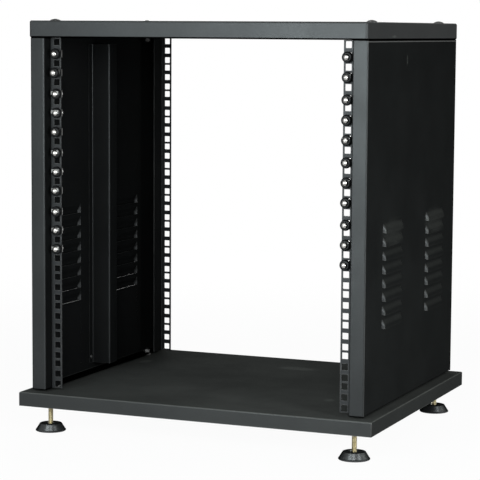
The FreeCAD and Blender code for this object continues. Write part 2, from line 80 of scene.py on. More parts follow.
def roundEdges(bm, wanted, radius, segments=4):
    edges = [edge for edge in bm.edges if wanted(edge)]
    bmesh.ops.bevel(bm, geom=edges, offset=radius, offset_type="OFFSET", segments=segments,
                    profile=0.5, affect="EDGES", material=-1)


def isFold(edge):
    return len(edge.link_faces) == 2 and edge.calc_face_angle() > math.radians(edgeTurn["fold"])


def isSharp(edge):
    return len(edge.link_faces) == 2 and edge.calc_face_angle() > math.radians(edgeTurn["softened"])


def softenEdges(bm, radius):
    roundEdges(bm, isSharp, radius, segments=2)


def vertsOf(geometry):
    return [item for item in geometry if isinstance(item, bmesh.types.BMVert)]


def cutAcross(bm, axis, places):
    for place in places:
        through, across = Vector((0, 0, 0)), Vector((0, 0, 0))
        through[axis], across[axis] = place, 1
        bmesh.ops.bisect_plane(bm, geom=bm.verts[:] + bm.edges[:] + bm.faces[:], dist=tiny,
                               plane_co=through, plane_no=across)


def mirrored(bm, side, end=1):
    # what was made at the right or front is turned over to its other side, still an open sheet
    bmesh.ops.scale(bm, vec=(side, end, 1), verts=bm.verts)
    if side * end < 0:
        bmesh.ops.reverse_faces(bm, faces=bm.faces)


def giveThickness(bm, gauge):
    # the wall grows inwards, away from its outside
    bmesh.ops.solidify(bm, geom=bm.faces[:], thickness=gauge)


def block(low, high, soften=0):
    low, high = Vector(low), Vector(high)
    bm = bmesh.new()
    shape = Matrix.Translation((low + high) / 2) @ Matrix.Diagonal((*(high - low), 1))
    bmesh.ops.create_cube(bm, size=1, matrix=shape)
    if soften:
        softenEdges(bm, soften)
    return bm


def turned(profile, steps, soften=0):
    # a profile of (radius, height) points turned about the upright axis, its sharp rings softened
    bm = bmesh.new()
    verts = [bm.verts.new((radius, 0, height)) for radius, height in profile]
    edges = [bm.edges.new(pair) for pair in zip(verts, verts[1:])]
    bmesh.ops.spin(bm, geom=verts + edges, cent=(0, 0, 0), axis=(0, 0, 1), angle=math.tau,
                   steps=steps, use_merge=True)
    mergeAndTurnOut(bm)
    if soften:
        softenEdges(bm, soften)
    return bm


threadCrest = (0.4, 0.6)     # where a thread's crest starts and stops, as shares of its pitch


def threadedRod(low, high, radius, depth, pitch, steps):
    # one groove spun up a screw line, cut off square and capped at both ends
    bm = bmesh.new()
    start, root = low - pitch, radius - depth
    profile = [(root, 0), *[(radius, share * pitch) for share in threadCrest], (root, pitch)]
    verts = [bm.verts.new((x, 0, start + z)) for x, z in profile]
    edges = [bm.edges.new(pair) for pair in zip(verts, verts[1:])]
    turns = math.ceil((high - low) / pitch) + 2
    bmesh.ops.spin(bm, geom=verts + edges, cent=(0, 0, 0), axis=(0, 0, 1), angle=math.tau * turns,
                   dvec=(0, 0, pitch / steps), steps=steps * turns)
    bmesh.ops.remove_doubles(bm, verts=bm.verts, dist=tiny)
    for place, across in ((low, (0, 0, -1)), (high, (0, 0, 1))):
        cut = bmesh.ops.bisect_plane(bm, geom=bm.verts[:] + bm.edges[:] + bm.faces[:], dist=tiny / 10,
                                     plane_co=(0, 0, place), plane_no=across, clear_outer=True)
        rim = [item for item in cut["geom_cut"] if isinstance(item, bmesh.types.BMEdge)]
        bmesh.ops.holes_fill(bm, edges=rim, sides=0)
    mergeAndTurnOut(bm)
    return bm


def hexPrism(flats, low, high, soften):
    bm = bmesh.new()
    bmesh.ops.create_circle(bm, cap_ends=True, segments=6, radius=flats / math.sqrt(3))
    moveVerts(bm, bm.verts, z=low)
    drawn = bmesh.ops.extrude_face_region(bm, geom=bm.faces[:], use_keep_orig=True)["geom"]
    moveVerts(bm, vertsOf(drawn), z=high - low)
    mergeAndTurnOut(bm)
    softenEdges(bm, soften)
    return bm


def asMesh(bm):
    mesh = bpy.data.meshes.new("shape")
    bm.to_mesh(mesh)
    bm.free()
    return mesh


def addCopies(bm, mesh, places):
    # copies of a finished shape, each moved by its matrix
    for place in places:
        first = len(bm.verts)
        bm.from_mesh(mesh)
        bm.verts.ensure_lookup_table()
        bmesh.ops.transform(bm, matrix=place, verts=bm.verts[first:])


def addShape(bm, shape, place=Matrix.Identity(4)):
    mesh = asMesh(shape)
    addCopies(bm, mesh, [place])
    bpy.data.meshes.remove(mesh)


def finishPiece(bm, name, material, nodes, body="rack"):
    mesh = bpy.data.meshes.new(name)
    for face in bm.faces:
        face.smooth = True
    bm.to_mesh(mesh)
    bm.free()
    mesh.set_sharp_from_angle(angle=math.radians(edgeTurn["shaded"]))
    mesh.materials.append(material)
    piece = bpy.data.objects.new(name, mesh)
    bpy.context.scene.collection.objects.link(piece)
    weighted = piece.modifiers.new("flat faces stay flat", "WEIGHTED_NORMAL")
    weighted.keep_sharp = True
    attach(piece, body)
    if nodes:
        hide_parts(*nodes)


# effects that several finishes share
def newGroup(name, inputs, outputs):
    group = bpy.data.node_groups.new(name, "ShaderNodeTree")
    for label, kind, value in inputs:
        socket = group.interface.new_socket(name=label, in_out="INPUT", socket_type=kind)
        socket.default_value = value
    for label, kind in outputs:
        group.interface.new_socket(name=label, in_out="OUTPUT", socket_type=kind)
    into = group.nodes.new("NodeGroupInput")
    out = group.nodes.new("NodeGroupOutput")
    return group, into, out


def addNode(tree, kind, settings=None, **values):
    node = tree.nodes.new(kind)
    for key, value in (settings or {}).items():
        setattr(node, key, value)
    for key, value in values.items():
        node.inputs[key.replace("_", " ")].default_value = value
    return node


def maths(tree, operation, first, second=None, clamp=False):
    node = addNode(tree, "ShaderNodeMath", {"operation": operation, "use_clamp": clamp})
    for index, value in enumerate((first, second)):
        if isinstance(value, bpy.types.NodeSocket):
            tree.links.new(value, node.inputs[index])
        elif value is not None:
            node.inputs[index].default_value = value
    return node.outputs[0]


def ramp(tree, value, low, high, to=(0, 1)):
    node = addNode(tree, "ShaderNodeMapRange", {"interpolation_type": "SMOOTHSTEP"},
                   From_Min=low, From_Max=high, To_Min=to[0], To_Max=to[1])
    tree.links.new(value, node.inputs["Value"])
    return node.outputs["Result"]


def noise(tree, vector, scale, detail=3, roughness=0.55):
    node = addNode(tree, "ShaderNodeTexNoise", Detail=detail, Roughness=roughness)
    tree.links.new(vector, node.inputs["Vector"])
    if isinstance(scale, bpy.types.NodeSocket):
        tree.links.new(scale, node.inputs["Scale"])
    else:
        node.inputs["Scale"].default_value = scale
    return node.outputs["Fac"]


def patchy(tree, vector, scale, detail, roughness, span, to=(0, 1)):
    # a noise made into patches with soft rims
    return ramp(tree, noise(tree, vector, scale, detail, roughness), *span, to)


def mixColour(tree, mask, first, second):
    node = addNode(tree, "ShaderNodeMix", {"data_type": "RGBA"})
    tree.links.new(mask, node.inputs["Factor"])
    for key, value in (("A", first), ("B", second)):
        socket = next(item for item in node.inputs if item.name == key and item.type == "RGBA")
        if isinstance(value, bpy.types.NodeSocket):
            tree.links.new(value, socket)
        else:
            socket.default_value = (*value, 1)
    return next(item for item in node.outputs if item.type == "RGBA")


# in what follows a span is where a ramp starts and stops, and to is what it then goes between
grainLook = {"scale": 1600, "depth": 0.00003, "detail": 2, "roughness": 0.6, "swell": 90, "swellShare": 0.6}


def makeCoatGrain():
    # the fine orange peel of a coat or a moulding: close bumps on a slow swell
    group, into, out = newGroup(
        "coat grain", [("Scale", "NodeSocketFloat", grainLook["scale"]),
                       ("Depth", "NodeSocketFloat", grainLook["depth"])],
        [("Normal", "NodeSocketVector"), ("Speckle", "NodeSocketFloat")])
    place = addNode(group, "ShaderNodeTexCoord").outputs["Object"]
    close = noise(group, place, into.outputs["Scale"], grainLook["detail"], grainLook["roughness"])
    swell = noise(group, place, grainLook["swell"], grainLook["detail"])
    height = maths(group, "ADD", close, maths(group, "MULTIPLY", swell, grainLook["swellShare"]))
    bump = addNode(group, "ShaderNodeBump", Strength=1)
    group.links.new(into.outputs["Depth"], bump.inputs["Distance"])
    group.links.new(height, bump.inputs["Height"])
    group.links.new(bump.outputs["Normal"], out.inputs["Normal"])
    group.links.new(close, out.inputs["Speckle"])
    return group


# wear along bends and edges; a floor under the patches keeps a painted sheen line along every bend
wearAndSheenLook = {
    "width": 0.0012, "amount": 0.5, "samples": 6, "turn": (0.02, 0.2),
    "rubbedAndSheen": {"scale": 35, "detail": 4, "roughness": 0.65, "span": (0.36, 0.62), "to": (0.45, 1)},
    "broken": {"scale": 700, "detail": 3, "roughness": 0.7, "span": (0.3, 0.55), "to": (0.6, 1)},
}


def makeEdgeWearAndSheen():
    # where a bend or edge turns: paint wear, and a painted sheen line along every bend, heavier in some
    # places than in others
    group, into, out = newGroup(
        "edge wear and painted sheen", [("Width", "NodeSocketFloat", wearAndSheenLook["width"]),
                      ("Amount", "NodeSocketFloat", wearAndSheenLook["amount"])], [("Mask", "NodeSocketFloat")])
    place = addNode(group, "ShaderNodeTexCoord").outputs["Object"]
    softened = addNode(group, "ShaderNodeBevel", {"samples": wearAndSheenLook["samples"]})
    group.links.new(into.outputs["Width"], softened.inputs["Radius"])
    geometry = addNode(group, "ShaderNodeNewGeometry")
    alike = addNode(group, "ShaderNodeVectorMath", {"operation": "DOT_PRODUCT"})
    group.links.new(softened.outputs["Normal"], alike.inputs[0])
    group.links.new(geometry.outputs["Normal"], alike.inputs[1])
    edge = ramp(group, maths(group, "SUBTRACT", 1, alike.outputs["Value"]), *wearAndSheenLook["turn"])
    rubbedAndSheen = patchy(group, place, **wearAndSheenLook["rubbedAndSheen"])
    broken = patchy(group, place, **wearAndSheenLook["broken"])
    mask = maths(group, "MULTIPLY", edge, maths(group, "MULTIPLY", rubbedAndSheen, broken))
    group.links.new(maths(group, "MULTIPLY", mask, into.outputs["Amount"], True), out.inputs["Mask"])
    return group


dustLook = {
    "amount": 0.3, "faceUp": (0.1, 0.8),
    "patches": {"scale": 9, "detail": 5, "roughness": 0.62, "span": (0.3, 0.72), "to": (0.72, 1)},
    "specks": {"scale": 420, "detail": 3, "roughness": 0.7, "span": (0.58, 0.74), "to": (0.65, 1)},
}


def makeDust():
    # a thin film on what faces up, with cleaner patches
    group, into, out = newGroup(
        "dust", [("Amount", "NodeSocketFloat", dustLook["amount"])], [("Mask", "NodeSocketFloat")])
    place = addNode(group, "ShaderNodeTexCoord").outputs["Object"]
    geometry = addNode(group, "ShaderNodeNewGeometry")
    split = addNode(group, "ShaderNodeSeparateXYZ")
    group.links.new(geometry.outputs["Normal"], split.inputs[0])
    faceUp = ramp(group, split.outputs["Z"], *dustLook["faceUp"])
    patches = patchy(group, place, **dustLook["patches"])
    specks = patchy(group, place, **dustLook["specks"])
    mask = maths(group, "MULTIPLY", faceUp, maths(group, "MULTIPLY", patches, specks))
    group.links.new(maths(group, "MULTIPLY", mask, into.outputs["Amount"], True), out.inputs["Mask"])
    return group


scuffAndSheenLook = {
    "size": (0.02, 0.02, 0.02), "amount": 0.5, "rim": (1, 0.5),
    "frayed": {"scale": 180, "detail": 4, "roughness": 0.7},
    "broken": {"scale": 900, "detail": 3, "roughness": 0.7, "span": (0.35, 0.6)},
}


def makeScuffAndSheenPatch():
    # one faint patch, used for abrasion and for painted sheen: an oval about a point, broken up along its
    # edge
    group, into, out = newGroup(
        "scuffAndSheenPatch", [("Centre", "NodeSocketVector", (0, 0, 0)),
                  ("Size", "NodeSocketVector", scuffAndSheenLook["size"]),
                  ("Amount", "NodeSocketFloat", scuffAndSheenLook["amount"])], [("Mask", "NodeSocketFloat")])
    place = addNode(group, "ShaderNodeTexCoord").outputs["Object"]
    shift = addNode(group, "ShaderNodeVectorMath", {"operation": "SUBTRACT"})
    group.links.new(place, shift.inputs[0])
    group.links.new(into.outputs["Centre"], shift.inputs[1])
    shrink = addNode(group, "ShaderNodeVectorMath", {"operation": "DIVIDE"})
    group.links.new(shift.outputs["Vector"], shrink.inputs[0])
    group.links.new(into.outputs["Size"], shrink.inputs[1])
    reach = addNode(group, "ShaderNodeVectorMath", {"operation": "LENGTH"})
    group.links.new(shrink.outputs["Vector"], reach.inputs[0])
    frayed = maths(group, "SUBTRACT", noise(group, place, **scuffAndSheenLook["frayed"]), 0.5)
    oval = ramp(group, maths(group, "ADD", reach.outputs["Value"], frayed), *scuffAndSheenLook["rim"])
    broken = patchy(group, place, **scuffAndSheenLook["broken"])
    mask = maths(group, "MULTIPLY", oval, broken)
    group.links.new(maths(group, "MULTIPLY", mask, into.outputs["Amount"], True), out.inputs["Mask"])
    return group


paintedLineLook = {"reach": 0.0012, "outside": (0.05, 0.15), "rim": (1.3, 0.8)}


def makePaintedLightLine():
    # a thin line along a level seam or rim, used for painted shadow and for painted highlight
    group, into, out = newGroup(
        "painted shadow and highlight line", [("Height", "NodeSocketFloat", 0), ("Reach", "NodeSocketFloat", paintedLineLook["reach"]),
                      ("Everywhere", "NodeSocketFloat", 1)], [("Mask", "NodeSocketFloat")])
    place = addNode(group, "ShaderNodeTexCoord").outputs["Object"]
    split = addNode(group, "ShaderNodeSeparateXYZ")
    group.links.new(place, split.inputs[0])
    above = maths(group, "SUBTRACT", split.outputs["Z"], into.outputs["Height"])
    share = maths(group, "DIVIDE", maths(group, "ABSOLUTE", above), into.outputs["Reach"])
    # 0 for Everywhere keeps the line to the outside of the left and right walls
    facing = addNode(group, "ShaderNodeSeparateXYZ")
    group.links.new(addNode(group, "ShaderNodeNewGeometry").outputs["Normal"], facing.inputs[0])
    outward = maths(group, "MULTIPLY", facing.outputs["X"], split.outputs["X"])
    outside = ramp(group, outward, *paintedLineLook["outside"])
    kept = maths(group, "MAXIMUM", outside, into.outputs["Everywhere"])
    line = ramp(group, share, *paintedLineLook["rim"])
    group.links.new(maths(group, "MULTIPLY", line, kept), out.inputs["Mask"])
    return group


coatGrain, edgeWearAndSheen, dust, scuffAndSheenPatch = makeCoatGrain(), makeEdgeWearAndSheen(), makeDust(), makeScuffAndSheenPatch()
paintedLightLine = makePaintedLightLine()


def useGroup(tree, group, **values):
    node = addNode(tree, "ShaderNodeGroup", {"node_tree": group})
    for key, value in values.items():
        node.inputs[key].default_value = value
    return node


def newMaterial(name, **shader):
    material = bpy.data.materials.new(name)
    material.use_nodes = True
    tree = material.node_tree
    principled = tree.nodes["Principled BSDF"]
    for key, value in shader.items():
        principled.inputs[key.replace("_", " ")].default_value = value
    return material, tree, principled


drift = {"scale": 14, "detail": 4, "span": (0.3, 0.7)}


def varied(tree, value, spread, scale=drift["scale"]):
    # a value that drifts a little over the surface
    place = addNode(tree, "ShaderNodeTexCoord").outputs["Object"]
    swing = noise(tree, place, scale, drift["detail"])
    return ramp(tree, swing, *drift["span"], (value - spread, value + spread))


# how paint, plastic and rubber age and vary, and the tones of painted shadow and painted sheen
ageingAndPaintedLight = {"dust": (0.145, 0.152, 0.143), "edge": (0.2, 0.2, 0.195), "scuffAndSheenPatch": (0.16, 0.168, 0.158),
          "paintedShadow": 0.001, "edgeWidth": 0.0016, "roughSpread": 0.03, "paler": 1.35, "speckle": (0.35, 0.7),
          "patches": {"value": 0.75, "spread": 0.4, "scale": 11}}


def satinBlack(name, colour, wearAndSheen, dusty, scuffsAndSheen=(), paintedLines=(), rough=0.38, metal=0.8, level=0,
               grain=1500, depth=0.00004):
    # dark paint, plastic or rubber that shines where it is looked at squarely and is dull at a slant
    material, tree, shader = newMaterial(name, Specular_IOR_Level=level, Specular_Tint=(0, 0, 0, 1))
    skin = useGroup(tree, coatGrain, Scale=grain, Depth=depth)
    tree.links.new(skin.outputs["Normal"], shader.inputs["Normal"])
    tree.links.new(varied(tree, rough, ageingAndPaintedLight["roughSpread"]), shader.inputs["Roughness"])
    pale = tuple(part * ageingAndPaintedLight["paler"] for part in colour)
    speckled = ramp(tree, skin.outputs["Speckle"], *ageingAndPaintedLight["speckle"])
    mottled = maths(tree, "MULTIPLY", speckled, varied(tree, **ageingAndPaintedLight["patches"]))
    tone = mixColour(tree, mottled, colour, pale)
    dull = useGroup(tree, dust, Amount=dusty).outputs["Mask"]
    tone = mixColour(tree, dull, tone, ageingAndPaintedLight["dust"])
    # bends and edges turn paler: paint wear, and a painted sheen line along every bend
    rubbedAndSheen = useGroup(tree, edgeWearAndSheen, Width=ageingAndPaintedLight["edgeWidth"], Amount=wearAndSheen)
    tone = mixColour(tree, rubbedAndSheen.outputs["Mask"], tone, ageingAndPaintedLight["edge"])
    # faint patches: abrasion, and on the side panels a painted highlight on the top louvre hoods
    for centre, reach, amount in scuffsAndSheen:
        markAndSheen = useGroup(tree, scuffAndSheenPatch, Centre=centre, Size=reach, Amount=amount)
        tone = mixColour(tree, markAndSheen.outputs["Mask"], tone, ageingAndPaintedLight["scuffAndSheenPatch"])
        dull = maths(tree, "MAXIMUM", dull, markAndSheen.outputs["Mask"])
    # painted lines: dark ones are painted shadow, kept black by the mask dark; pale ones are painted
    # highlight
    dark = 0
    for height, reach, shade in paintedLines:
        isPaintedShadow = shade <= ageingAndPaintedLight["paintedShadow"]
        line = useGroup(tree, paintedLightLine, Height=height, Reach=reach, Everywhere=int(isPaintedShadow))
        tone = mixColour(tree, line.outputs["Mask"], tone, (shade, shade, shade))
        if isPaintedShadow:
            dark = maths(tree, "MAXIMUM", dark, line.outputs["Mask"])
        else:
            dull = maths(tree, "MAXIMUM", dull, line.outputs["Mask"])
    tree.links.new(tone, shader.inputs["Base Color"])
    # dust, marks and painted highlights scatter light instead of shining, and a painted shadow line does
    # neither
    shine = maths(tree, "SUBTRACT", metal, maths(tree, "MULTIPLY", dull, metal))
    tree.links.new(maths(tree, "MAXIMUM", shine, dark), shader.inputs["Metallic"])
    return material


plating = {"grain": 900, "depth": 0.00001, "roughSpread": 0.3, "roughScale": 60,
           "clouds": {"scale": 240, "detail": 5, "roughness": 0.6, "span": (0.3, 0.75)}}


def platedMetal(name, colour, dark, rough):
    # bare plating, cloudy from handling
    material, tree, shader = newMaterial(name, Metallic=1.0)
    skin = useGroup(tree, coatGrain, Scale=plating["grain"], Depth=plating["depth"])
    tree.links.new(skin.outputs["Normal"], shader.inputs["Normal"])
    roughness = varied(tree, rough, rough * plating["roughSpread"], plating["roughScale"])
    tree.links.new(roughness, shader.inputs["Roughness"])
    place = addNode(tree, "ShaderNodeTexCoord").outputs["Object"]
    cloudy = patchy(tree, place, **plating["clouds"])
    tree.links.new(mixColour(tree, cloudy, colour, dark), shader.inputs["Base Color"])
    return material


print("shared effects made")

# the two folded sheets that lie flat: the base tray and the cover
tray = {"sheet": 0.0015, "bend": 0.0022, "seam": 0.0007, "cornerSoft": 0.0004}
cover = {"sheet": 0.0012, "bend": 0.0028, "corner": 0.004, "return": 0.025}


def openBox(low, high):
    bm = block(low, high)
    under = [face for face in bm.faces if face.calc_center_median().z < low.z + tiny]
    bmesh.ops.delete(bm, geom=under, context="FACES")
    return bm


def levelAt(height):
    return lambda edge: all(abs(vert.co.z - height) < tiny for vert in edge.verts)


def makeBaseTray(material):
    low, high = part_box("base_tray")
    bm = openBox(low, high)
    roundEdges(bm, levelAt(high.z), tray["bend"])
    # the side flaps stop short of the front and back flaps, below the bend
    flap = high.y - tray["sheet"]
    cutAcross(bm, 1, [flap, flap - tray["seam"], -flap, tray["seam"] - flap])
    cutAcross(bm, 2, [high.z - tray["bend"]])
    slits = []
    for face in bm.faces:
        middle = face.calc_center_median()
        inSeam = flap - tray["seam"] < abs(middle.y) < flap
        if inSeam and middle.z < high.z - tray["bend"] and abs(middle.x) > high.x - tiny:
            slits.append(face)
    bmesh.ops.delete(bm, geom=slits, context="FACES")
    giveThickness(bm, tray["sheet"])
    bmesh.ops.remove_doubles(bm, verts=bm.verts, dist=tiny)

    def isCorner(edge):
        points = [vert.co for vert in edge.verts]
        outer = all(abs(point.x) > high.x - tiny and abs(point.y) > high.y - tiny for point in points)
        return outer and abs(points[0].z - points[1].z) > tray["bend"]
    roundEdges(bm, isCorner, tray["cornerSoft"], segments=2)
    finishPiece(bm, "baseTray", material, ["base_tray"])


def makeTopCover(material):
    low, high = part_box("top_cover")
    bm = block(low, high)

    def isUpright(edge):
        return abs(edge.verts[0].co.z - edge.verts[1].co.z) > tiny
    roundEdges(bm, isUpright, cover["corner"], segments=5)
    roundEdges(bm, levelAt(high.z), cover["bend"])
    roundEdges(bm, levelAt(low.z), cover["bend"])
    # its lower edges are folded in, and the underside is open between the folds
    mouthX, mouthY = high.x - cover["return"], high.y - cover["return"]
    cutAcross(bm, 0, [-mouthX, mouthX])
    cutAcross(bm, 1, [-mouthY, mouthY])
    mouth = []
    for face in bm.faces:
        middle = face.calc_center_median()
        if middle.z < low.z + tiny and abs(middle.x) < mouthX and abs(middle.y) < mouthY:
            mouth.append(face)
    bmesh.ops.delete(bm, geom=mouth, context="FACES")
    giveThickness(bm, cover["sheet"])
    finishPiece(bm, "topCover", material, ["top_cover"])


# a side is one sheet: two post faces with their returns, and a wall with pressed louvres
panel = {"sheet": 0.0012, "bend": 0.0022, "postReturn": 0.044, "flangeBend": 0.0024}
louvre = {
    "length": 0.0855, "height": 0.015, "reach": 0.0045, "lip": 0.003, "overlap": 0.0009, "cheek": 0.0038,
    "rows": 8, "pitch": 0.02, "lowest": 0.118, "front": 0.0752, "columns": 0.2062,
    "riseCuts": (0.003, 0.0052, 0.0078, 0.0104, 0.0128), "cheekCuts": (0.0006, 0.0014, 0.0025, 0.0038),
}


def louvreRise(height):
    if height <= louvre["lip"]:
        return 1
    share = (height - louvre["lip"]) / (louvre["height"] - louvre["lip"])
    return 0.5 + 0.5 * math.cos(math.pi * min(1, share))


def louvreCheek(inside):
    return math.sin(math.pi / 2 * min(1, max(0, inside) / louvre["cheek"]))


def pressLouvres(bm, wallX, frontY, bottom):
    starts = [frontY + louvre["front"] + column * louvre["columns"] for column in range(2)]
    lips = [bottom + louvre["lowest"] + row * louvre["pitch"] for row in range(louvre["rows"])]
    for start in starts:
        stop = start + louvre["length"]
        steps = (0, *louvre["cheekCuts"])
        cutAcross(bm, 1, [start + step for step in steps] + [stop - step for step in steps])
    for lip in lips:
        cutAcross(bm, 2, [lip + step for step in (0, *louvre["riseCuts"], louvre["height"])])

    def within(point, start):
        return wallX - point.x < tiny and start - tiny < point.y < start + louvre["length"] + tiny

    # each louvre is slit along its lip before it is pressed out
    slits = [edge for edge in bm.edges if any(levelAt(lip)(edge) for lip in lips)
             and any(all(within(vert.co, start) for vert in edge.verts) for start in starts)]
    bmesh.ops.split_edges(bm, edges=slits)
    for vert in bm.verts:
        for start in starts:
            for lip in lips:
                above = vert.co.z - lip
                if not within(vert.co, start) or not -tiny < above < louvre["height"] + tiny:
                    continue
                if above < tiny and any(face.calc_center_median().z < lip for face in vert.link_faces):
                    continue
                inside = min(vert.co.y - start, start + louvre["length"] - vert.co.y)
                vert.co.x += louvre["reach"] * louvreRise(above) * louvreCheek(inside)
                if above < tiny:
                    vert.co.z -= louvre["overlap"] * louvreCheek(inside)


def makeSidePanel(name, side, material):
    low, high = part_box("side_panel_right")
    wallX, depth = high.x - louvre["reach"], high.y
    lip = depth - panel["postReturn"]
    bm = foldedStrip([(low.x, lip), (low.x, depth), (wallX, depth), (wallX, -depth), (low.x, -depth),
                      (low.x, -lip)], low.z, high.z, (1, 0, 0))
    roundEdges(bm, isFold, panel["bend"])
    # the flanges that lie under the cover and over the base, folded in from the wall
    for height in (low.z, high.z):
        rim = [edge for edge in bm.edges if levelAt(height)(edge)
               and all(vert.co.x > wallX - tiny for vert in edge.verts)]
        inner = vertsOf(bmesh.ops.extrude_edge_only(bm, edges=rim)["geom"])
        moveVerts(bm, inner, x=low.x + panel["sheet"] - wallX)
    roundEdges(bm, lambda edge: isFold(edge) and abs(edge.verts[0].co.z - edge.verts[1].co.z) < tiny,
               panel["flangeBend"], segments=3)
    pressLouvres(bm, wallX, -depth, low.z)
    mirrored(bm, side)
    giveThickness(bm, panel["sheet"])
    finishPiece(bm, f"sidePanel{name.title()}", material, [f"side_panel_{name}"])


# the rails: one unit is punched, then repeated up the angle
railSize = {"sheet": 0.002, "bend": 0.0026, "holeCorner": 0.0007, "units": 12,
            "row": rackUnit["rowSpacing"] / 2}


def makeRail(name, side, endName, end, material):
    low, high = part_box("front_rail_right")
    bm = foldedStrip([(high.x, high.y), (high.x, low.y), (low.x, low.y)],
                     low.z, low.z + rackUnit["height"], (1, -0.5, 0))
    roundEdges(bm, isFold, railSize["bend"])
    half = rackUnit["squareHole"] / 2
    middles = [low.z + rackUnit["height"] / 2 + step * rackUnit["holePitch"] for step in (-1, 0, 1)]
    cutAcross(bm, 0, [railSize["row"] - half, railSize["row"] + half])
    cutAcross(bm, 2, [middle + way * half for middle in middles for way in (-1, 1)])

    def inHole(point):
        atLevel = any(abs(point.z - middle) < half for middle in middles)
        return atLevel and abs(point.x - railSize["row"]) < half
    punched = [face for face in bm.faces if inHole(face.calc_center_median())]
    bmesh.ops.delete(bm, geom=punched, context="FACES")
    unit = bm.verts[:] + bm.edges[:] + bm.faces[:]
    for number in range(1, railSize["units"]):
        copied = bmesh.ops.duplicate(bm, geom=unit)["geom"]
        moveVerts(bm, vertsOf(copied), z=number * rackUnit["height"])
    bmesh.ops.remove_doubles(bm, verts=bm.verts, dist=tiny)
    mirrored(bm, side, -end)
    giveThickness(bm, railSize["sheet"])

    def isHoleCorner(edge):
        near = all(abs(abs(vert.co.x) - railSize["row"]) < half + tiny for vert in edge.verts)
        along = edge.verts[0].co - edge.verts[1].co
        return near and isFold(edge) and abs(along.y) > railSize["sheet"] / 2
    roundEdges(bm, isHoleCorner, railSize["holeCorner"], segments=2)
    finishPiece(bm, f"{endName}Rail{name.title()}", material, [f"{endName}_rail_{name}"])


# the hat-shaped channel inside each side, with the screw that shows at its foot
channel = {"sheet": 0.0012, "flange": 0.011, "bend": 0.0022, "innerBend": 0.0012, "screwHead": 0.003,
           "screwRim": 0.0004, "screwHeight": 0.0014, "screwSoft": 0.0001, "screwUp": 0.0099}


def makeWallChannel(name, side, material):
    low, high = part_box("wall_channel_right")
    near = high.x - channel["sheet"]
    back, front = high.y - channel["flange"], low.y + channel["flange"]
    bm = foldedStrip([(near, low.y), (near, front), (low.x, front), (low.x, back), (near, back),
                      (near, high.y)], low.z, high.z, (-1, 0, 0))
    roundEdges(bm, lambda edge: isFold(edge) and edge.verts[0].co.x < near - tiny, channel["bend"])
    roundEdges(bm, lambda edge: isFold(edge) and edge.verts[0].co.x > near - tiny, channel["innerBend"],
               segments=3)
    mirrored(bm, side)
    giveThickness(bm, channel["sheet"])
    finishPiece(bm, f"wallChannel{name.title()}", material, [f"wall_channel_{name}"])


# screws, spacers, washers and nuts between the folded sheets
fixing = {
    "head": 0.008, "headRim": 0.0006, "headSoft": 0.0002, "domeHeight": 0.003, "shank": 0.003,
    "threadDepth": 0.0004, "pitch": 0.001, "nutFlats": 0.01, "nutSoft": 0.0005, "ring": 0.007,
    "boreRoom": 0.0003, "ringSoft": 0.0004,
}
shankSunk = 0.0002       # how far a shank reaches into its head


def capProfile(radius, rim, height, steps=6):
    # a low dome from its middle out to its rim, an arc of a large circle
    rise = height - rim
    big = (radius * radius + rise * rise) / (2 * rise)
    reaches = [radius * step / steps for step in range(steps + 1)]
    return [(across, height - big + math.sqrt(big * big - across * across)) for across in reaches]


def fixingPlaces(height, hangs=False):
    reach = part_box("cover_screws")[1]
    x, y = reach.x - fixing["head"], reach.y - fixing["head"]
    turn = Matrix.Rotation(math.pi, 4, "X") if hangs else Matrix.Identity(4)
    corners = [(way * x, along * y, height) for way in (-1, 1) for along in (-1, 1)]
    return [Matrix.Translation(corner) @ turn for corner in corners]


def domedScrew(length):
    cap = capProfile(fixing["head"], fixing["headRim"], fixing["domeHeight"])
    bm = turned(cap + [(fixing["head"], 0), (0, 0)], steps=32, soften=fixing["headSoft"])
    addShape(bm, threadedRod(-length, shankSunk, fixing["shank"], fixing["threadDepth"], fixing["pitch"],
                             steps=16))
    return asMesh(bm)


def plainRing(bore, outer, height):
    profile = [(bore, 0), (outer, 0), (outer, height), (bore, height), (bore, 0)]
    return asMesh(turned(profile, steps=28, soften=fixing["ringSoft"]))


def makeFixings(blackScrew, zinc):
    # the cover's screws stand on it, and the base's hang under its sheet, head down
    coverSeat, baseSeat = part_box("top_cover")[1].z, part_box("base_tray")[1].z - tray["sheet"]
    for part, seat, hangs, ring, finish, slot in (
            ("cover", coverSeat, False, "Spacers", blackScrew, "black_screw"),
            ("base", baseSeat, True, "Washers", zinc, "zinc_steel")):
        low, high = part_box(f"{part}_screws")
        bm = bmesh.new()
        addCopies(bm, domedScrew(high.z - seat if hangs else seat - low.z), fixingPlaces(seat, hangs))
        finishPiece(bm, f"{part}Screws", blackScrew, [f"{part}_screws"])

        low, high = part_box(f"{part}_nuts")
        nut = asMesh(hexPrism(fixing["nutFlats"], 0, high.z - low.z, fixing["nutSoft"]))
        bm = bmesh.new()
        addCopies(bm, nut, fixingPlaces(low.z))
        finishPiece(bm, f"{part}Nuts", finish, [f"{part}_nuts"])

        node = f"{part}_{ring.lower()}"
        low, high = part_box(node)
        shape = plainRing(fixing["shank"] + fixing["boreRoom"], fixing["ring"], high.z - low.z)
        bm = bmesh.new()
        addCopies(bm, shape, fixingPlaces(low.z))
        finishPiece(bm, f"{part}{ring}", finish, [node])


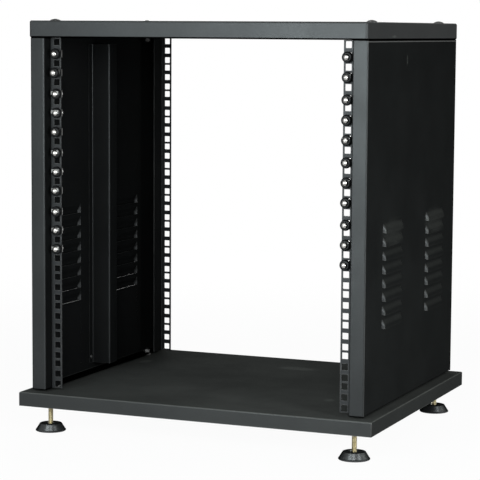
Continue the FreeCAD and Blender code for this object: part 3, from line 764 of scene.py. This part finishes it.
def makeChannelScrew(name, side, material):
    # the small screw low on the channel's front flange
    low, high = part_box("wall_channel_right")
    head = channel["screwHead"]
    cap = capProfile(head, channel["screwRim"], channel["screwHeight"])
    bm = turned(cap + [(head, 0), (0, 0)], steps=20, soften=channel["screwSoft"])
    flangeMiddle = low.y + channel["flange"] / 2
    spot = Vector((side * (high.x - channel["sheet"]), flangeMiddle, low.z + channel["screwUp"]))
    inward = Matrix.Rotation(-side * math.pi / 2, 4, "Y")
    bmesh.ops.transform(bm, matrix=Matrix.Translation(spot) @ inward, verts=bm.verts)
    finishPiece(bm, f"channelScrew{name.title()}", material, [])


# screws, cup washers and cage nuts, stored at every other hole of the upper front rails
stored = {"headStand": 0.0086, "sag": 0.0017, "turnEach": 0.7}
screw = {
    "head": 0.0048, "headRim": 0.001, "headHeight": 0.0042, "headSteps": 32, "domeRings": 8,
    "shank": 0.0029, "length": 0.02, "threadDepth": 0.00045, "pitch": 0.001,
    # the cross recess: its hub and arms reach so many rings of the dome, and an arm is so many degrees wide
    "recessDepth": 0.0017, "hubRings": 1, "armRings": 4, "armWidth": 24, "recessTaper": 0.7,
}
cup = {
    "outer": 0.008, "front": 0.0055, "height": 0.0045, "bore": 0.0032, "wall": 0.0012, "soft": 0.00015,
    "bulgeFrom": 0.0006, "bulgeSteps": 6, "dishIn": 0.0009, "dishDown": 0.0001, "foot": 0.001,
}
cage = {
    "fit": 0.00015, "strip": 0.0005, "stripHalf": 0.0025, "bend": 0.0003, "hook": 0.0013, "hookOut": 0.0006,
    "reach": 0.006, "depth": 0.006, "nutX": 0.0054, "nutY": 0.0053, "nutDepth": 0.0054, "nutSoft": 0.0004,
}
# how much further than headStand each head stands out, from the top down
proud = {
    "left": (0.0004, 0.003, -0.0019, -0.0031, 0.0006, -0.0016, -0.0029, -0.0007, -0.0014, -0.002, -0.0019),
    "right": (0.0003, -0.0002, 0, 0.0005, -0.0004, 0.0002, -0.0001, 0.0004, 0, -0.0003, 0.0001),
}


def holeHeight(number):
    # height of a rail hole, counted from 1 at the top
    unit, place = divmod(number - 1, 3)
    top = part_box("front_rail_right")[1].z
    return top - rackUnit["height"] * (unit + 0.5) + rackUnit["holePitch"] * (1 - place)


def storedPlaces(name, onScrew, turnBy):
    # a screw and its washer stand out and sag, and a cage nut sits square in its hole
    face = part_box("front_rail_right")[0].y
    forward = Matrix.Rotation(math.pi / 2, 4, "X")
    places = []
    for index, extra in enumerate(proud[name]):
        y, z = face, holeHeight(2 * index + 2)      # every other hole, from the second
        if onScrew:
            y, z = y - stored["headStand"] - extra, z - stored["sag"]
        turn = Matrix.Rotation(turnBy * (index + 1) * (3 + sides[name]), 4, "Z")
        places.append(Matrix.Translation((sides[name] * railSize["row"], y, z)) @ forward @ turn)
    return places


def rackScrew():
    dome = capProfile(screw["head"], screw["headRim"], screw["headHeight"], screw["domeRings"])
    bm = turned(dome + [(screw["head"], 0), (0, 0)], screw["headSteps"])
    # a hub and four arms are sunk into the dome, narrower at their floor
    hub, arm = (dome[screw[key]][0] + tiny for key in ("hubRings", "armRings"))
    sunk = []
    for face in bm.faces:
        middle = face.calc_center_median()
        across = math.hypot(middle.x, middle.y)
        turn = math.degrees(math.atan2(middle.y, middle.x)) % 90
        inArm = across < arm and min(turn, 90 - turn) < screw["armWidth"] / 2
        if middle.z > screw["headRim"] and (across < hub or inArm):
            sunk.append(face)
    for vert in vertsOf(bmesh.ops.extrude_face_region(bm, geom=sunk)["geom"]):
        vert.co.z = screw["headHeight"] - screw["recessDepth"]
        vert.co.x, vert.co.y = vert.co.x * screw["recessTaper"], vert.co.y * screw["recessTaper"]
    addShape(bm, threadedRod(-screw["length"], shankSunk, screw["shank"], screw["threadDepth"],
                             screw["pitch"], steps=12))
    return asMesh(bm)


def cupWasher():
    # its front at height 0, dished to the bore, a bulged side and a hollow back
    outer, front, bore, wall, back = cup["outer"], cup["front"], cup["bore"], cup["wall"], -cup["height"]
    side = [(front + (outer - front) * math.sin(turn),
             back + cup["bulgeFrom"] + (cup["height"] - cup["bulgeFrom"]) * math.cos(turn))
            for turn in (math.pi / 2 * step / cup["bulgeSteps"] for step in range(cup["bulgeSteps"] + 1))]
    profile = [(bore, -wall), (front - cup["dishIn"], -cup["dishDown"]), *side, (outer, back),
               (outer - cup["foot"], back), (outer - cup["foot"] * 2, back + wall), (bore, back + wall),
               (bore, -wall)]
    return asMesh(turned(profile, steps=32, soften=cup["soft"]))


def cageNut():
    # a block nut in a bent strip whose two ends hook through the square hole
    half, behind, sag = rackUnit["squareHole"] / 2 - cage["fit"], -railSize["sheet"], stored["sag"]
    bends = [(half + cage["hook"], cage["hookOut"]), (half, cage["hookOut"]), (half, behind),
             (cage["reach"], behind), (cage["reach"], behind - cage["depth"])]
    plan = bends + [(-x, y) for x, y in reversed(bends)]
    strip = foldedStrip(plan, -cage["stripHalf"], cage["stripHalf"], (0, -1, 0))
    roundEdges(strip, isFold, cage["bend"], segments=2)
    giveThickness(strip, cage["strip"])
    bm = bmesh.new()
    addShape(bm, strip, Matrix.Rotation(math.pi * 1.5, 4, "X"))
    addShape(bm, block((-cage["nutX"], -sag - cage["nutY"], behind - cage["nutDepth"]),
                       (cage["nutX"], cage["nutY"] - sag, behind), cage["nutSoft"]))
    return asMesh(bm)


def makeStoredRow(name, nickel, plastic, spring):
    rows = (("rackScrews", rackScrew(), nickel, "nickel_screw", "rack_screws", True, stored["turnEach"]),
            ("cupWashers", cupWasher(), plastic, "washer_plastic", "cup_washers", True, 0),
            ("cageNuts", cageNut(), spring, "spring_steel", "cage_nuts", False, 0))
    for piece, shape, material, slot, node, onScrew, turnBy in rows:
        bm = bmesh.new()
        addCopies(bm, shape, storedPlaces(name, onScrew, turnBy))
        finishPiece(bm, f"{piece}{name.title()}", material, [f"{node}_{name}"])


# the levelling feet
foot = {
    "rim": 0.0015, "top": 0.017, "recess": 0.0075, "recessDepth": 0.002, "bore": 0.004, "seat": 0.004,
    "rings": 5, "ringDepth": 0.0005, "ringDown": 0.0002, "ringUp": 0.0001, "soleIn": 0.0008,
    "soleUp": 0.0006, "crownIn": 0.0006, "crownDown": 0.0003, "recessSlope": 0.0004, "stem": 0.00385,
    "threadDepth": 0.0006, "pitch": 0.00125, "nutFlats": 0.013, "nutSoft": 0.0006,
    "bracketSheet": 0.002, "bracketBend": 0.0025,
}


def footPad(width, height):
    outer, top, recess, bore = width / 2, foot["top"], foot["recess"], foot["bore"]
    sole = [(0, 0), (outer - foot["soleIn"], 0), (outer, foot["soleUp"]), (outer, foot["rim"])]
    # fine steps run round the slope
    slope = []
    for ring in range(1, foot["rings"] + 1):
        share = ring / (foot["rings"] + 1)
        across = outer + (top - outer) * share
        up = foot["rim"] + (height - foot["rim"]) * share
        slope += [(across, up - foot["ringDown"]), (across - foot["ringDepth"], up + foot["ringUp"])]
    crown = [(top, height - foot["crownDown"]), (top - foot["crownIn"], height), (recess, height)]
    floor = height - foot["recessDepth"]
    inside = [(recess - foot["recessSlope"], floor), (bore, floor), (bore, foot["seat"]), (0, foot["seat"])]
    return asMesh(turned(sole + slope + crown + inside, steps=64))


def makeFoot(endName, name, rubber, stemZinc, nutZinc, coat):
    label, body = f"{endName}_{name}", f"foot_{endName}_{name}"
    title = endName.title() + name.title()
    low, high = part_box(f"foot_pad_{label}")
    spot = Matrix.Translation(((low.x + high.x) / 2, (low.y + high.y) / 2, 0))
    bm = bmesh.new()
    addCopies(bm, footPad(high.x - low.x, high.z), [spot])
    finishPiece(bm, f"footPad{title}", rubber, [f"foot_pad_{label}"], body)

    low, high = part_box(f"foot_stem_{label}")
    bm = threadedRod(low.z, high.z, foot["stem"], foot["threadDepth"], foot["pitch"], steps=20)
    bmesh.ops.transform(bm, matrix=spot, verts=bm.verts)
    finishPiece(bm, f"footStem{title}", stemZinc, [f"foot_stem_{label}"], body)

    low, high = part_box(f"foot_nut_{label}")
    bm = hexPrism(foot["nutFlats"], low.z, high.z, foot["nutSoft"])
    bmesh.ops.transform(bm, matrix=spot, verts=bm.verts)
    finishPiece(bm, f"footNut{title}", nutZinc, [f"foot_nut_{label}"])

    low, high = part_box(f"foot_bracket_{label}")
    # a trough that opens upwards: its section in y and z is drawn upright, then laid down along x
    section = [(low.y, high.z), (low.y, low.z), (high.y, low.z), (high.y, high.z)]
    bm = foldedStrip(section, low.x, high.x, (0, -1, 0))
    roundEdges(bm, isFold, foot["bracketBend"], segments=3)
    giveThickness(bm, foot["bracketSheet"])
    layDown = Matrix(((0, 0, 1, 0), (1, 0, 0, 0), (0, 1, 0, 0), (0, 0, 0, 1)))
    bmesh.ops.transform(bm, matrix=layDown, verts=bm.verts)
    finishPiece(bm, f"footBracket{title}", coat, [f"foot_bracket_{label}"])


# finishes
coatColour = {"panel": (0.0215, 0.0228, 0.0234), "cover": (0.028, 0.0297, 0.0306),
              "tray": (0.027, 0.0284, 0.0286), "rail": (0.022, 0.023, 0.024),
              "washer": (0.014, 0.0145, 0.015), "foot": (0.042, 0.044, 0.045)}
# faint patches, abrasion and painted sheen: a middle, how far it reaches and how strong it is
trayTop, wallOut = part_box("base_tray")[1].z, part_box("top_cover")[1].x
# the first is a pale spot on the base top, the other two are abrasion patches
trayMarks = [((-0.226, 0.1, trayTop), (0.012, 0.018, 0.01), 0.6),
              ((0.028, 0.141, trayTop), (0.04, 0.018, 0.01), 0.55),
              ((0.172, -0.095, trayTop), (0.01, 0.012, 0.01), 0.5)]
panelScuffsAndHoodSheen = [((wallOut, -0.038, 0.572), (0.01, 0.004, 0.009), 0.3),
               # the next two are a painted highlight on the top louvre hoods, where light from above falls
               ((wallOut + 0.004, -0.098, 0.322), (0.01, 0.06, 0.026), 0.15),
               ((wallOut + 0.004, 0.108, 0.322), (0.01, 0.06, 0.026), 0.15)]
coverScuffs = [((wallOut, -0.101, 0.606), (0.01, 0.012, 0.002), 0.3)]

# level lines: painted shadow where the sides meet the cover and stand over the base,
# and a painted highlight on the bend under the cover: a height, how far the line reaches from it, and its
# shade
panelFoot, panelTop = (corner.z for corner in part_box("side_panel_right"))
panelPaintedLines = [(panelTop, 0.001, ageingAndPaintedLight["paintedShadow"]), (panelTop - 0.0023, 0.0007, 0.06),
              (panelFoot, 0.0014, ageingAndPaintedLight["paintedShadow"])]
coverPaintedShadow = [(panelTop, 0.0021, ageingAndPaintedLight["paintedShadow"])]

panelCoat = satinBlack("panel powder coat", coatColour["panel"], wearAndSheen=0.22, dusty=0.4,
                       scuffsAndSheen=panelScuffsAndHoodSheen, paintedLines=panelPaintedLines)
coverCoat = satinBlack("cover powder coat", coatColour["cover"], wearAndSheen=0.5, dusty=0.3,
                       scuffsAndSheen=coverScuffs, paintedLines=coverPaintedShadow, metal=0.6, level=0.03)
trayCoat = satinBlack("tray powder coat", coatColour["tray"], wearAndSheen=0.8, dusty=0.6,
                      scuffsAndSheen=trayMarks, metal=0.5)
railCoat = satinBlack("rail powder coat", coatColour["rail"], wearAndSheen=0.35, dusty=0.1, rough=0.45, grain=2600)
washerPlastic = satinBlack("washer plastic", coatColour["washer"], wearAndSheen=0.1, dusty=0.02, rough=0.4,
                           metal=0.7, grain=900)
footRubber = satinBlack("foot rubber", coatColour["foot"], wearAndSheen=0.15, dusty=0.01, rough=0.32, grain=1200,
                        depth=0.000006)
# plated pieces: a colour, the darker one of its clouds, and how rough it is
nickel = platedMetal("nickel plate", (0.46, 0.455, 0.44), (0.32, 0.315, 0.3), 0.24)
spring = platedMetal("spring steel", (0.2, 0.2, 0.195), (0.13, 0.13, 0.128), 0.36)
zincSteel = platedMetal("zinc plate", (0.14, 0.14, 0.14), (0.09, 0.09, 0.09), 0.45)
yellowZinc = platedMetal("yellow zinc plate", (0.5, 0.455, 0.32), (0.34, 0.3, 0.2), 0.4)
blackScrew = platedMetal("black oxide", (0.06, 0.06, 0.06), (0.03, 0.03, 0.03), 0.42)
print("finishes made")

makeBaseTray(trayCoat)
makeTopCover(coverCoat)
for name, side in sides.items():
    makeSidePanel(name, side, panelCoat)
    makeWallChannel(name, side, panelCoat)
    makeChannelScrew(name, side, zincSteel)
    for endName, end in ends.items():
        makeRail(name, side, endName, end, railCoat)
        makeFoot(endName, name, footRubber, yellowZinc, zincSteel, trayCoat)
    makeStoredRow(name, nickel, washerPlastic, spring)
makeFixings(blackScrew, zincSteel)
print("pieces made")

# floor, light and camera
room = {"floorRadius": 6, "floorPaint": 0.8, "glow": 0.955, "fadeFrom": 0.7, "fadeTo": 2.4,
        "ambient": 0.02}
lamps = {
    "key": {"place": (-0.38, -2.3, 0.68), "aim": (0.1, 0, 0.35), "size": (0.8, 1.2), "power": 45,
            "tint": (0.93, 1, 1)},
    "fill": {"place": (0.9, -2.4, 1.0), "aim": (0, 0, 0.3), "size": (0.8, 0.8), "power": 39,
             "tint": (0.97, 1, 1)},
    "side": {"place": (2.2, 0.3, 0.35), "aim": (0.26, 0, 0.25), "size": (0.8, 0.5), "power": 11,
             "tint": (0.98, 1, 0.92)},
    "low": {"place": (0.9, 0.05, 0.06), "aim": (0.27, 0.03, 0.08), "size": (0.8, 0.08), "power": 2,
            "tint": (0.98, 1, 0.93)},
    "slant": {"place": (1.9, -1.05, 0.6), "aim": (-0.1, 0, 0.33), "size": (0.5, 0.8), "power": 27,
              "tint": (0.96, 1, 1)},
    "back": {"place": (-1.2, 2.6, 0.8), "aim": (0, 0, 0.1), "size": (1.2, 0.8), "power": 50,
             "tint": (1, 1, 1)},
}
view = {"place": (1.1561, -2.794, 0.6138), "yaw": 22.739, "pitch": 6.169, "roll": 0.353,
        "lens": 145.55, "sensor": 36}


def seenRays(tree):
    # 1 for what the camera sees, straight or in a mirror or glass
    path = addNode(tree, "ShaderNodeLightPath")
    seen = maths(tree, "ADD", path.outputs["Is Camera Ray"], path.outputs["Is Glossy Ray"])
    return maths(tree, "ADD", seen, path.outputs["Is Transmission Ray"], True)


def makeFloor():
    bm = bmesh.new()
    bmesh.ops.create_circle(bm, cap_ends=True, segments=96, radius=room["floorRadius"])
    mesh = asMesh(bm)
    floor = bpy.data.objects.new("floor", mesh)
    bpy.context.scene.collection.objects.link(floor)
    material, tree, shader = newMaterial("floor paint", Roughness=0.9, Specular_IOR_Level=0.0)
    shader.inputs["Base Color"].default_value = (*[room["floorPaint"]] * 3, 1)
    glow = addNode(tree, "ShaderNodeEmission", Strength=1.0)
    glow.inputs["Color"].default_value = (1, 1, 1, 1)
    # white to the eye, with a faint shadow near the rack
    reach = addNode(tree, "ShaderNodeVectorMath", {"operation": "LENGTH"})
    tree.links.new(addNode(tree, "ShaderNodeTexCoord").outputs["Object"], reach.inputs[0])
    share = ramp(tree, reach.outputs["Value"], room["fadeFrom"], room["fadeTo"], (room["glow"], 1))
    mix = addNode(tree, "ShaderNodeMixShader")
    tree.links.new(maths(tree, "MULTIPLY", share, seenRays(tree)), mix.inputs["Fac"])
    tree.links.new(shader.outputs["BSDF"], mix.inputs[1])
    tree.links.new(glow.outputs["Emission"], mix.inputs[2])
    tree.links.new(mix.outputs["Shader"], tree.nodes["Material Output"].inputs["Surface"])
    mesh.materials.append(material)


def makeWorld():
    world = bpy.data.worlds.new("white room")
    world.use_nodes = True
    tree = world.node_tree
    background = tree.nodes["Background"]
    grey = (*[room["ambient"]] * 3,)
    tree.links.new(mixColour(tree, seenRays(tree), grey, (1, 1, 1)), background.inputs["Color"])
    bpy.context.scene.world = world


def makeLamps():
    for name, lamp in lamps.items():
        light = bpy.data.lights.new(name, "AREA")
        light.shape = "RECTANGLE"
        light.size, light.size_y = lamp["size"]
        light.energy, light.color = lamp["power"], lamp["tint"]
        lampObject = bpy.data.objects.new(name, light)
        lampObject.location = lamp["place"]
        aim = Vector(lamp["aim"]) - Vector(lamp["place"])
        lampObject.rotation_euler = aim.to_track_quat("-Z", "Y").to_euler()
        bpy.context.scene.collection.objects.link(lampObject)


def makeCamera():
    yaw, pitch, roll = (math.radians(view[key]) for key in ("yaw", "pitch", "roll"))
    ahead, level = Vector((-math.sin(yaw), math.cos(yaw), 0)), Vector((math.cos(yaw), math.sin(yaw), 0))
    forward = math.cos(pitch) * ahead - math.sin(pitch) * Vector((0, 0, 1))
    up = level.cross(forward)
    right = math.cos(roll) * level + math.sin(roll) * up
    top = math.cos(roll) * up - math.sin(roll) * level
    camera = bpy.data.objects.new("camera", bpy.data.cameras.new("camera"))
    camera.data.lens, camera.data.sensor_width = view["lens"], view["sensor"]
    turn = Matrix((right, top, -forward)).transposed().to_4x4()
    camera.matrix_world = Matrix.Translation(view["place"]) @ turn
    bpy.context.scene.collection.objects.link(camera)
    bpy.context.scene.camera = camera


makeFloor()
makeWorld()
makeLamps()
makeCamera()
bpy.context.scene.view_settings.view_transform = "Standard"
print("stage set")
